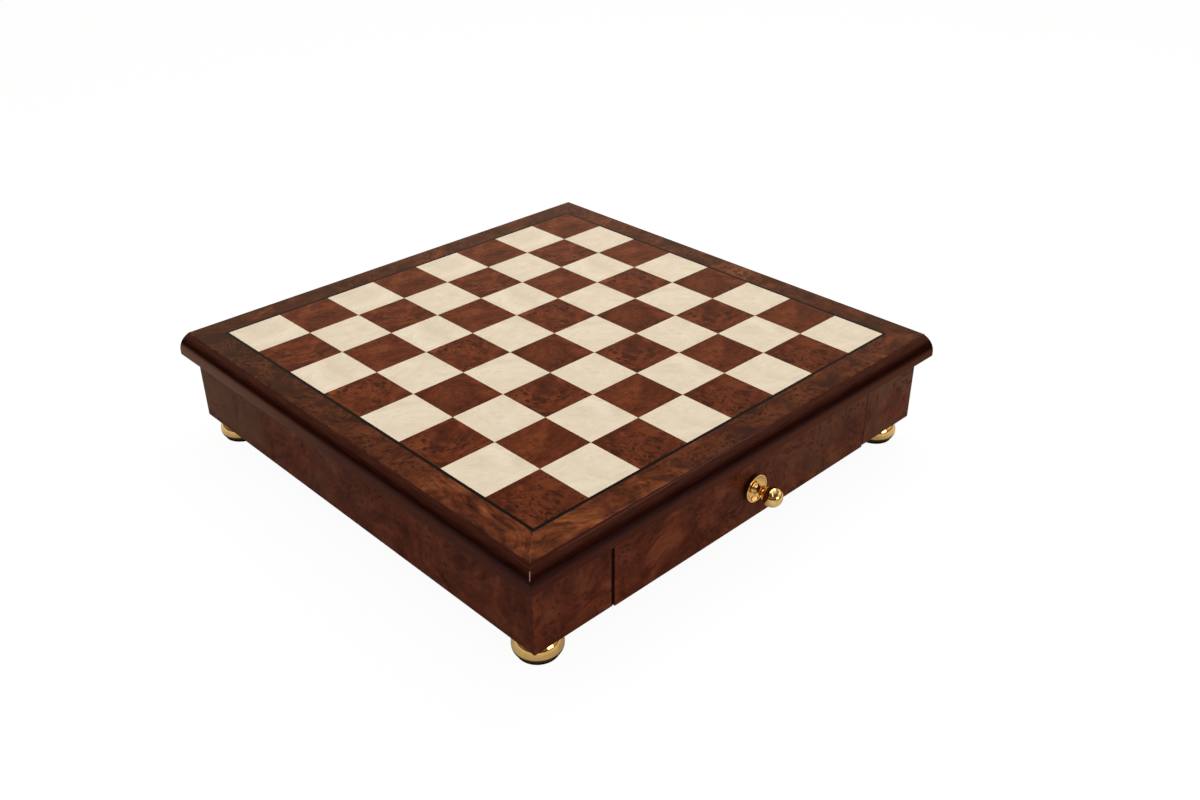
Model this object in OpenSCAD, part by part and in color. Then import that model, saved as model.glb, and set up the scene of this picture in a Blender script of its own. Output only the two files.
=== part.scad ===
// Chess box with two drawers: a veneered chessboard on a shallow carcass with brass feet.
// Origin: centre of the box on the floor. The first drawer opens towards -Y, the second towards +Y.

/* [Board] */
// Side of one chess square
square = 45; // [38:0.5:50]
// Thickness of the top board
board_t = 20; // [16:0.5:26]
// Thickness of every veneer on the board
veneer_t = 0.6; // [0.4:0.1:1]
// Glue line between neighbouring veneers
seam = 0.1; // [0.05:0.05:0.2]
// Width of the black line round the squares
stringing_w = 2.5; // [1:0.1:4]
// Width of the burl border, from the black line to the arris
border_w = 20.5; // [14:0.1:26]
// Distance of the joint in the front border from its right end
border_joint = 72; // [40:1:120]

/* [Moulding] */
// How far the moulding stands out beyond the top arris
moulding_out = 6; // [4:0.1:9]
// Width of solid moulding that lies under the border veneer
moulding_under = 10; // [6:0.5:12]
// Height of the straight band at the foot of the moulding
moulding_band = 4; // [3:0.5:10]
// Overhang of the moulding beyond the carcass
overhang = 9; // [4:0.5:14]

/* [Carcass] */
// Height of the carcass walls
wall_h = 54; // [46:1:80]
// Thickness of the carcass walls
wall_t = 12; // [9:0.5:15]
// Width of the fixed posts beside a drawer, when the drawer is in the middle
post_w = 64.5; // [58:0.5:90]
// Thickness of the bottom panel
panel_t = 4; // [3:0.5:6]
// Thickness of the drawer guides
guide_t = 9; // [6:0.5:12]
// Height of the drawer guides
guide_h = 36; // [20:1:40]
// Thickness of the bar that stops the drawers
stop_t = 10; // [6:1:20]
// Length of the corner blocks along the drawers
block_l = 44; // [34:1:60]
// Slack between a corner block and its guide
block_gap = 1; // [0.5:0.5:3]

/* [Feet] */
// Height of a foot with its pad
foot_h = 18; // [16:0.5:24]
// Widest radius of a foot
foot_r = 17; // [15:0.5:18]
// Height of the widest part above the floor
foot_belly_z = 7.2; // [6:0.1:8]
// Radius of a foot's top, where it meets the carcass
foot_top_r = 11.3; // [10.5:0.1:13]
// Radius of a foot's base, where it meets the pad
foot_base_r = 14.5; // [13:0.1:14.6]
// Inset of a foot's axis from the carcass faces
foot_inset = 18; // [18:0.5:22]
// How far the pad stays in from the foot's base
pad_inset = 0.3; // [0:0.1:2]
// Thickness of a foot's pad
pad_t = 1.5; // [1:0.1:2]

/* [Foot screws] */
// Shank radius
foot_screw_r = 1.75; // [1.5:0.05:2.25]
// Head radius
foot_screw_head_r = 3.6; // [3:0.1:4.5]
// Head height
foot_screw_head_h = 2.4; // [2:0.1:3]
// Length of the shank in the panel and the corner block
foot_screw_grip = 24; // [15:1:36]

/* [Drawers] */
// Distance of the drawers' middle to the right of the box's middle
drawer_shift = 1.5; // [-4:0.5:4]
// Gap at each end of a drawer front
front_gap = 1.2; // [0.6:0.1:2]
// Gap above a drawer front
front_top_gap = 0.8; // [0.4:0.1:1.5]
// How far a drawer front hangs below the walls
front_drop = 0.4; // [0:0.1:1]
// How far a closed drawer front stands out from the walls
front_proud = 0.8; // [0:0.1:1.5]
// Thickness of a drawer front
front_t = 12; // [10:0.5:16]
// How much less than its front each side of a drawer box stands in
box_inset = 3.5; // [2:0.5:6]
// Thickness of the drawer sides
side_t = 8; // [6:0.5:10]
// Thickness of a drawer back
back_t = 8; // [6:0.5:10]
// Thickness of a drawer bottom
bottom_t = 3; // [2.5:0.5:4]
// Height of a drawer bottom above the sides' lower edge
bottom_up = 4; // [2:0.5:6]
// Depth of the grooves that hold a drawer bottom
groove_d = 3; // [2:0.5:4]
// Slack above and at the end of a drawer bottom in its grooves
groove_gap = 0.2; // [0.1:0.1:0.5]
// Thickness of the felt lining
lining_t = 1; // [0.5:0.1:2]
// Slack round the felt lining
lining_gap = 0.5; // [0.3:0.1:1]
// Running gap under a drawer box and between it and each guide
run_gap = 0.5; // [0.3:0.1:1]
// Gap between the drawer sides and the top board
tip_gap = 1.6; // [1:0.1:3]
// Gap between a closed drawer and the stop
stop_gap = 0.5; // [0.3:0.1:1]

/* [Knobs] */
// Radius of the ball
ball_r = 7.5; // [6:0.25:8.5]
// Distance of the ball's centre from the drawer front
ball_out = 17.5; // [16:0.5:22]
// Radius of the neck at its thinnest
neck_r = 2.6; // [2.4:0.1:3.2]
// Radius of the collar where the neck meets the rosette
collar_r = 4.6; // [4:0.1:5.6]
// Thickness of the collar
collar_t = 2; // [1.5:0.5:3]
// Outer radius of the rosette, which is a dish
rosette_r = 10.6; // [9:0.1:13]
// Radius of the rosette's seat on the drawer front
seat_r = 6.5; // [6:0.1:7.5]
// Radius of the flat middle inside the dish
dish_r = 6.2; // [5.8:0.1:7]
// Thickness of the rosette in the middle
rosette_t = 1.8; // [1.5:0.1:2.4]
// Distance of the dish's rim from the drawer front, to the middle of its bead
rim_out = 3.7; // [3.3:0.1:5]
// Radius of the bead round the rim
bead_r = 0.7; // [0.5:0.1:1]

/* [Knob screws] */
// Shank radius
knob_screw_r = 1.5; // [1:0.05:1.75]
// Head radius
knob_screw_head_r = 3.6; // [3:0.1:4.5]
// Head height
knob_screw_head_h = 2; // [1.5:0.1:3]
// Length of the shank inside the knob
knob_screw_in = 7; // [5:0.5:8]
// Clearance round a screw where it passes through a piece
screw_gap = 0.3; // [0.2:0.1:0.6]
// Clearance round a screw where it is held
thread_gap = 0.05; // [0.02:0.01:0.1]
// Room past the tip of a screw at the end of its hole
tip_room = 1; // [0.5:0.5:2]

/* [Hidden] */
$fn = 96;
rows = 8;
eps = 0.01;

// Half sizes of the square outlines, from the middle of the board outwards
field = rows * square / 2;
string_out = field + stringing_w;
arris = string_out + border_w;
core = arris - moulding_under;
board = arris + moulding_out;
body = board - overhang;
inner = body - wall_t;
foot_at = body - foot_inset;

// Heights above the floor
body_z = foot_h;
panel_top = body_z + panel_t;
board_z = body_z + wall_h;
core_top = board_z + board_t - veneer_t;

// Drawer opening, box and inside, across the box from the drawers' middle
opening = body - post_w;
front_half = opening - front_gap;
box_half = front_half - box_inset;
in_half = box_half - side_t;
guide_in = box_half + run_gap;
guide_out = guide_in + guide_t;

// Drawer heights and depths. A drawer is drawn at the front, with its face towards -Y.
front_z = body_z - front_drop;
front_h = board_z - front_top_gap - front_z;
box_z = panel_top + run_gap;
box_h = board_z - tip_gap - box_z;
bottom_z = box_z + bottom_up;
lining_z = bottom_z + bottom_t;
face_y = -body - front_proud;
box_y = face_y + front_t;
back_y = -stop_t / 2 - stop_gap;
knob_z = body_z + wall_h / 2;

// Radius of an arc that starts upright and has gone in by depth once it has gone up by rise
function arc_radius(depth, rise) = (depth * depth + rise * rise) / (2 * depth);

// The moulding's round, which is upright above the band and ends in the arris
round_h = board_t - moulding_band - veneer_t;
round_r = arc_radius(moulding_out, round_h);

// Corners: sign of x and sign of y
FL = [-1, -1];
FR = [1, -1];
BL = [-1, 1];
BR = [1, 1];

// ---- Placing ----

// Turns what is drawn at the front to one side: 0 front, 1 right, 2 back, 3 left
module at_side(turns) rotate([0, 0, 90 * turns]) children();

// Mirrors what is drawn at +X +Y into a corner
module at_corner(corner) {
    mirror([corner.x < 0 ? 1 : 0, 0, 0])
    mirror([0, corner.y < 0 ? 1 : 0, 0])
    children();
}

// Draws a drawer's piece at the front for drawer 1, mirrored to the back for drawer 2
module at_drawer(n) {
    translate([drawer_shift, 0, 0])
    mirror([0, n == 2 ? 1 : 0, 0])
    children();
}

// Points the Z axis of what is drawn out of the drawer front, with z = 0 on its face
module on_knob_axis() translate([0, face_y, knob_z]) rotate([90, 0, 0]) children();

// Points the Z axis of what is drawn up through a foot
module on_foot(corner) translate([corner.x * foot_at, corner.y * foot_at, 0]) children();

// A block between two corner points
module block(low, high) translate(low) cube(high - low);

// A flat frame member at the front, mitred at both ends, between two square outlines
module mitred(inside, outside, low, high) {
    translate([0, 0, low])
    linear_extrude(high - low)
    polygon([[-outside, -outside], [outside, -outside], [inside, -inside], [-inside, -inside]]);
}

// ---- Top board ----

module top_core() {
    color("burlywood")
    block([-core, -core, board_z], [core, core, core_top]);
}

// The squares of one colour: (file + rank) is even on the dark ones
module squares(parity) {
    side = square - seam;
    for (file = [0 : rows - 1], rank = [0 : rows - 1])
        if ((file + rank) % 2 == parity)
            translate([file * square - field + seam / 2, rank * square - field + seam / 2, core_top])
            cube([side, side, veneer_t]);
}

module light_squares() color("antiquewhite") squares(1);

module dark_squares() color("saddlebrown") squares(0);

module stringing(turns) {
    color("black")
    at_side(turns)
    mitred(field + seam / 2, string_out, core_top, core_top + veneer_t);
}

// The front strip is joined from two lengths, with a glue line between them
module border(turns) {
    joint_x = arris - border_joint;
    color("sienna")
    at_side(turns)
    difference() {
        mitred(string_out, arris, core_top, core_top + veneer_t);
        if (turns == 0)
            block([joint_x, -arris - eps, core_top - eps],
                  [joint_x + seam, -string_out + eps, core_top + veneer_t + eps]);
    }
}

// Section of the moulding: x outwards, y up, from the board's underside
module moulding_section() {
    centre_x = board - round_r;
    translate([core, 0]) square([board - core, moulding_band]);
    intersection() {
        translate([core, moulding_band - eps]) square([board - core, round_h + eps]);
        union() {
            translate([centre_x, moulding_band]) circle(round_r);
            translate([core, 0]) square([max(centre_x - core, eps), board_t]);
        }
    }
}

module moulding(turns) {
    reach = board + eps;
    color("#3a1410")
    at_side(turns)
    intersection() {
        translate([-reach, 0, board_z])
        rotate([90, 0, 90])
        linear_extrude(2 * reach)
        mirror([1, 0])
        moulding_section();
        translate([0, 0, board_z - eps])
        linear_extrude(board_t + 2 * eps)
        polygon([[-reach, -reach], [reach, -reach], [0, 0]]);
    }
}

// ---- Carcass ----

// Side wall at the left, mitred at both ends
module side_wall(turns) {
    color("#5a2e1c")
    at_side(turns)
    mitred(inner, body, body_z, board_z);
}

// Fixed piece beside a drawer: mitred at the carcass corner, square at the opening
module post(corner) {
    edge = opening + corner.x * drawer_shift;
    color("#63321e")
    at_corner(corner)
    translate([0, 0, body_z])
    linear_extrude(wall_h)
    polygon([[edge, body], [body, body], [inner, inner], [edge, inner]]);
}

// Bottom panel between the walls, cut back behind both drawer fronts, and drilled for the feet
module bottom_panel() {
    color("tan")
    difference() {
        block([-inner, -inner, body_z], [inner, inner, panel_top]);
        for (n = [1, 2])
            at_drawer(n)
            block([-opening, -body, body_z - eps], [opening, box_y + stop_gap, panel_top + eps]);
        for (corner = [FL, FR, BL, BR])
            on_foot(corner)
            translate([0, 0, body_z - eps])
            cylinder(r = foot_screw_r + screw_gap, h = panel_t + 2 * eps);
    }
}

// Guide along both drawers, ending against the posts or short of the drawer fronts.
// hand is -1 at the left and 1 at the right
module guide(hand) {
    end = min(inner, -box_y - stop_gap);
    color("peru")
    translate([drawer_shift, 0, 0])
    mirror([hand < 0 ? 1 : 0, 0, 0])
    block([guide_in, -end, panel_top], [guide_out, end, panel_top + guide_h]);
}

module centre_stop() {
    color("peru")
    translate([drawer_shift, 0, 0])
    block([-guide_in, -stop_t / 2, panel_top], [guide_in, stop_t / 2, panel_top + guide_h]);
}

// Glue block in a corner, from the wall to just short of the guide
module corner_block(corner) {
    edge = guide_out + block_gap + corner.x * drawer_shift;
    color("wheat")
    difference() {
        at_corner(corner)
        block([edge, inner - block_l, panel_top], [inner, inner, board_z]);
        on_foot(corner)
        translate([0, 0, panel_top - eps])
        cylinder(r = foot_screw_r + thread_gap, h = foot_screw_grip - panel_t + tip_room + eps);
    }
}

// ---- Feet ----

// Part of a foot's half section between the belly and one end: an arc that is upright at the
// belly and reaches end_r at end_z
module foot_arc(end_r, end_z) {
    rise = abs(end_z - foot_belly_z);
    arc_r = arc_radius(foot_r - end_r, rise);
    intersection() {
        translate([0, min(end_z, foot_belly_z)]) square([foot_r, rise]);
        union() {
            translate([foot_r - arc_r, foot_belly_z]) circle(arc_r);
            translate([0, foot_belly_z - rise]) square([max(foot_r - arc_r, eps), 2 * rise]);
        }
    }
}

module foot_section() {
    difference() {
        union() {
            foot_arc(foot_top_r, foot_h);
            foot_arc(foot_base_r, pad_t);
        }
        square([foot_screw_r + screw_gap, foot_h + eps]);
        square([foot_screw_head_r + screw_gap, pad_t + foot_screw_head_h + screw_gap]);
    }
}

module foot(corner) {
    color("gold")
    on_foot(corner)
    rotate_extrude()
    foot_section();
}

module pad(corner) {
    color("#151515")
    on_foot(corner)
    cylinder(r = foot_base_r - pad_inset, h = pad_t);
}

// Wood screws through the feet into the corner blocks
module foot_screws() {
    head_z = pad_t + screw_gap;
    color("silver")
    for (corner = [FL, FR, BL, BR])
        on_foot(corner)
        translate([0, 0, head_z]) {
            cylinder(r = foot_screw_head_r, h = foot_screw_head_h);
            cylinder(r = foot_screw_r, h = body_z - head_z + foot_screw_grip);
        }
}

// ---- Drawers ----

module drawer_front(n) {
    color("#63321e")
    at_drawer(n)
    difference() {
        block([-front_half, face_y, front_z], [front_half, box_y, front_z + front_h]);
        block([-in_half - groove_d, box_y - groove_d, bottom_z],
              [in_half + groove_d, box_y + eps, lining_z + groove_gap]);
        on_knob_axis()
        translate([0, 0, -front_t - eps])
        cylinder(r = knob_screw_r + screw_gap, h = front_t + 2 * eps);
    }
}

// Drawer side, seen from the drawer's own middle: hand is -1 at the left and 1 at the right
module drawer_side(n, hand) {
    color("burlywood")
    at_drawer(n)
    mirror([hand < 0 ? 1 : 0, 0, 0])
    difference() {
        block([in_half, box_y, box_z], [box_half, back_y, box_z + box_h]);
        block([in_half - eps, box_y - eps, bottom_z],
              [in_half + groove_d, back_y + eps, lining_z + groove_gap]);
    }
}

module drawer_back(n) {
    color("burlywood")
    at_drawer(n)
    block([-in_half, back_y - back_t, lining_z], [in_half, back_y, box_z + box_h]);
}

module drawer_bottom(n) {
    edge = in_half + groove_d - groove_gap;
    color("tan")
    at_drawer(n)
    block([-edge, box_y - groove_d + groove_gap, bottom_z], [edge, back_y, lining_z]);
}

module drawer_lining(n) {
    edge = in_half - lining_gap;
    color("darkgreen")
    at_drawer(n)
    block([-edge, box_y + lining_gap, lining_z],
          [edge, back_y - back_t - lining_gap, lining_z + lining_t]);
}

// Dish that flares from its seat on the drawer front to a beaded rim
module drawer_rosette(n) {
    rim_r = rosette_r - bead_r;
    side = bead_r * cos(45);
    color("gold")
    at_drawer(n)
    on_knob_axis()
    rotate_extrude()
    difference() {
        union() {
            polygon([[0, 0], [seat_r, 0], [rim_r + side, rim_out - side],
                     [rim_r - side, rim_out + side], [dish_r, rosette_t], [0, rosette_t]]);
            translate([rim_r, rim_out]) circle(bead_r, $fn = 48);
        }
        square([knob_screw_r + screw_gap, rosette_t + eps]);
    }
}

// Ball, neck and collar are one turning, bored for its screw
module drawer_knob(n) {
    neck_l = ball_out - rosette_t;
    color("gold")
    at_drawer(n)
    on_knob_axis()
    translate([0, 0, rosette_t])
    rotate_extrude()
    difference() {
        union() {
            square([collar_r, collar_t]);
            square([neck_r, neck_l]);
            intersection() {
                translate([0, neck_l]) circle(ball_r);
                translate([0, neck_l - ball_r]) square([ball_r, 2 * ball_r]);
            }
        }
        square([knob_screw_r + thread_gap, knob_screw_in + tip_room]);
    }
}

module drawer_knob_screw(n) {
    color("silver")
    at_drawer(n)
    on_knob_axis()
    translate([0, 0, -front_t]) {
        translate([0, 0, -knob_screw_head_h]) cylinder(r = knob_screw_head_r, h = knob_screw_head_h);
        cylinder(r = knob_screw_r, h = front_t + rosette_t + knob_screw_in);
    }
}

top_core();
light_squares();
dark_squares();
stringing(0);  // stringing_front
stringing(1);  // stringing_right
stringing(2);  // stringing_back
stringing(3);  // stringing_left
border(0);  // border_front
border(1);  // border_right
border(2);  // border_back
border(3);  // border_left
moulding(0);  // moulding_front
moulding(1);  // moulding_right
moulding(2);  // moulding_back
moulding(3);  // moulding_left
side_wall(3);  // side_left
side_wall(1);  // side_right
post(FL);  // post_front_left
post(FR);  // post_front_right
post(BL);  // post_back_left
post(BR);  // post_back_right
bottom_panel();
guide(-1);  // guide_left
guide(1);  // guide_right
centre_stop();
corner_block(FL);  // corner_block_front_left
corner_block(FR);  // corner_block_front_right
corner_block(BL);  // corner_block_back_left
corner_block(BR);  // corner_block_back_right
foot(FL);  // foot_front_left
foot(FR);  // foot_front_right
foot(BL);  // foot_back_left
foot(BR);  // foot_back_right
pad(FL);  // pad_front_left
pad(FR);  // pad_front_right
pad(BL);  // pad_back_left
pad(BR);  // pad_back_right
foot_screws();
drawer_front(1);  // drawer_1_front
drawer_side(1, -1);  // drawer_1_side_left
drawer_side(1, 1);  // drawer_1_side_right
drawer_back(1);  // drawer_1_back
drawer_bottom(1);  // drawer_1_bottom
drawer_lining(1);  // drawer_1_lining
drawer_rosette(1);  // drawer_1_rosette
drawer_knob(1);  // drawer_1_knob
drawer_knob_screw(1);  // drawer_1_knob_screw
drawer_front(2);  // drawer_2_front
drawer_side(2, -1);  // drawer_2_side_left
drawer_side(2, 1);  // drawer_2_side_right
drawer_back(2);  // drawer_2_back
drawer_bottom(2);  // drawer_2_bottom
drawer_lining(2);  // drawer_2_lining
drawer_rosette(2);  // drawer_2_rosette
drawer_knob(2);  // drawer_2_knob
drawer_knob_screw(2);  // drawer_2_knob_screw
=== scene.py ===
"""Chess box with two drawers: an inlaid board on a shallow veneered carcass with brass feet.

The sections follow the box as it is put together. Shapes are worked out in millimetres in the
frame's own axes, +Z up through the board and -Y out of the first drawer, and meshes are in metres.
"""

import math

import bpy
import numpy as np
from mathutils import Matrix, Vector


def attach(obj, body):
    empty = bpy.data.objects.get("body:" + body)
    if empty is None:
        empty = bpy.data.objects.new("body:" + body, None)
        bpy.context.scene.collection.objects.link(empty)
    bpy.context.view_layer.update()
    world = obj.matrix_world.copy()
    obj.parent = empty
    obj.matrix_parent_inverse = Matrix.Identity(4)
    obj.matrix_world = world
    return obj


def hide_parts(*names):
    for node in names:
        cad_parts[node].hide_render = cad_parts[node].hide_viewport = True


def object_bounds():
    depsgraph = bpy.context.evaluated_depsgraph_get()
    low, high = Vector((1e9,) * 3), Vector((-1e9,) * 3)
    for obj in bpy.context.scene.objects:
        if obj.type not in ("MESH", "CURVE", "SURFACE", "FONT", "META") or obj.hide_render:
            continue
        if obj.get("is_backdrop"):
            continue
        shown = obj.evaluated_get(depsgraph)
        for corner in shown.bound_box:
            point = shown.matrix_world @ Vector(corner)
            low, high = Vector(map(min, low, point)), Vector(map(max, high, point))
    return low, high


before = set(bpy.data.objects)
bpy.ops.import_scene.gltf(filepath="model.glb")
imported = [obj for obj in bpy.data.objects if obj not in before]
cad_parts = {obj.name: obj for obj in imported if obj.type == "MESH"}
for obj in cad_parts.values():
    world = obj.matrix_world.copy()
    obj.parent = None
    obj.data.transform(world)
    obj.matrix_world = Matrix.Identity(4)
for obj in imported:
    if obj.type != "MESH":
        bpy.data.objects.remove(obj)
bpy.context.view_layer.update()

# ---- Core of the top board ----
# One 19.4 mm panel of MDF that carries all the veneers. Pressed from wood dust, so its cut faces
# are an even tan with fine dark and pale specks. It shows only as the roof over the drawers.

MM = 0.001


def linear(code):
    """Linear RGBA of an sRGB hex code: c / 12.92 up to 0.04045, and above it
    (c + 0.055) / 1.055 to the power 2.4."""
    srgb = np.array([int(code[i:i + 2], 16) / 255 for i in (1, 3, 5)])
    rgb = np.where(srgb <= 0.04045, srgb / 12.92, ((srgb + 0.055) / 1.055) ** 2.4)
    return (*rgb.tolist(), 1.0)


def add_node(tree, kind, sockets, operation=None, stops=(), **settings):
    """Adds a shader node of a kind, such as Math, with its operation and other settings, and gives
    its outputs. Each of sockets is linked if it is another node's output, and is a plain value if
    not. stops are a colour ramp's places and hex codes."""
    node = tree.nodes.new("ShaderNode" + kind)
    if operation:
        node.operation = operation
    for name, value in settings.items():
        setattr(node, name, value)
    for key, value in sockets.items():
        if isinstance(value, bpy.types.NodeSocket):
            tree.links.new(value, node.inputs[key])
        else:
            node.inputs[key].default_value = value
    for index, (place, code) in enumerate(stops):
        points = node.color_ramp.elements
        point = points[index] if index < len(points) else points.new(place)
        point.position = place
        point.color = linear(code)
    return node.outputs


def begin_finish(name):
    """A new material, its node tree, and the point on the object in millimetres."""
    finish = bpy.data.materials.new(name)
    finish.use_nodes = True
    tree = finish.node_tree
    tree.nodes.clear()
    place = add_node(tree, "TexCoord", {})["Object"]
    point = add_node(tree, "VectorMath", {0: place, "Scale": 1 / MM}, "SCALE")[0]
    return finish, tree, point


def end_finish(tree, sockets):
    """Ends a material in its shader, with these sockets set or linked."""
    shader = add_node(tree, "BsdfPrincipled", sockets)["BSDF"]
    add_node(tree, "OutputMaterial", {"Surface": shader})


def coat_with(finish, *names):
    """Gives CAD nodes this material in all their slots."""
    for name in names:
        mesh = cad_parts[name].data
        mesh.materials.clear()
        mesh.materials.append(finish)


def mdf_colour(tree, point):
    """Cut MDF: tan, with specks of 0.4 mm, drawn 1 mm wide so that they show."""
    specks = add_node(tree, "TexNoise", {"Vector": point, "Scale": 1.0, "Detail": 3.0})["Fac"]
    return add_node(tree, "ValToRGB", {"Fac": specks},
                    stops=[(0.32, "#8a6a49"), (0.5, "#a58360"), (0.7, "#b8966f")])["Color"]


core_mdf, tree, point = begin_finish("core_mdf")
end_finish(tree, {"Base Color": mdf_colour(tree, point), "Roughness": 0.85,
                  "Specular IOR Level": 0.2})
coat_with(core_mdf, "top_core")

# ---- Playing squares ----
# 64 squares of 0.6 mm veneer, taped together and pressed on the core, then lacquered and rubbed
# down. The dark ones are stained burl: each row is cut from one stack of leaves, so its squares
# repeat nearly the same eyes and swirls. The pale ones are bleached burl with a faint mottle.

SQUARE = 45.0
FIELD = 4 * SQUARE
LEAF = 2 * SQUARE
ROW_STEP = 3.7  # the numbers of two rows' leaves are far enough apart to look unlike
LEAF_STEP = 0.03  # those of two leaves in one stack are close, so that they look nearly alike
PALE_LOG = 400.0  # the pale leaves are read this far off, as they come from another log
FLOW = 22.0  # how far two noises push the figure about, in millimetres
CURL = 4.5
STREAK_CURL = 0.35  # share of the second push that the streaks follow
EYE_STEP = 17.0  # how far the eyes lie apart between leaves whose numbers differ by one
EYE_RAGGED = 2.6  # how far a third noise pushes the eyes' outlines
LACQUER_WEIGHT = 0.20  # thin satin coat: a faint sheen face on, a clear one at grazing angles
LACQUER_ROUGHNESS = 0.17
EASED = {"interpolation_type": "SMOOTHSTEP"}  # for a range that starts and ends gently


def leaf_point(tree, point):
    """Where a point of the field lies in its row's leaf, the leaf's number, and 1 on odd rows, 0 on
    even. x is taken modulo the leaf's width, and the number is the row times one step plus the
    leaf times a much smaller one."""
    part = add_node(tree, "SeparateXYZ", {0: point})
    from_left = add_node(tree, "Math", {0: part["X"], 1: FIELD}, "ADD")[0]
    from_front = add_node(tree, "Math", {0: part["Y"], 1: FIELD}, "ADD")[0]
    along = add_node(tree, "Math", {0: from_left, 1: LEAF}, "MODULO")[0]
    leaf = add_node(tree, "Math", {0: from_left, 1: LEAF}, "DIVIDE")[0]
    leaf = add_node(tree, "Math", {0: leaf}, "FLOOR")[0]
    row = add_node(tree, "Math", {0: from_front, 1: SQUARE}, "DIVIDE")[0]
    row = add_node(tree, "Math", {0: row}, "FLOOR")[0]
    odd = add_node(tree, "Math", {0: row, 1: 2.0}, "MODULO")[0]
    slip = add_node(tree, "Math", {0: leaf, 1: LEAF_STEP}, "MULTIPLY")[0]
    number = add_node(tree, "Math", {0: row, 1: ROW_STEP, 2: slip}, "MULTIPLY_ADD")[0]
    place = add_node(tree, "CombineXYZ", {"X": along, "Y": part["Y"], "Z": part["Z"]})[0]
    return place, number, odd


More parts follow.
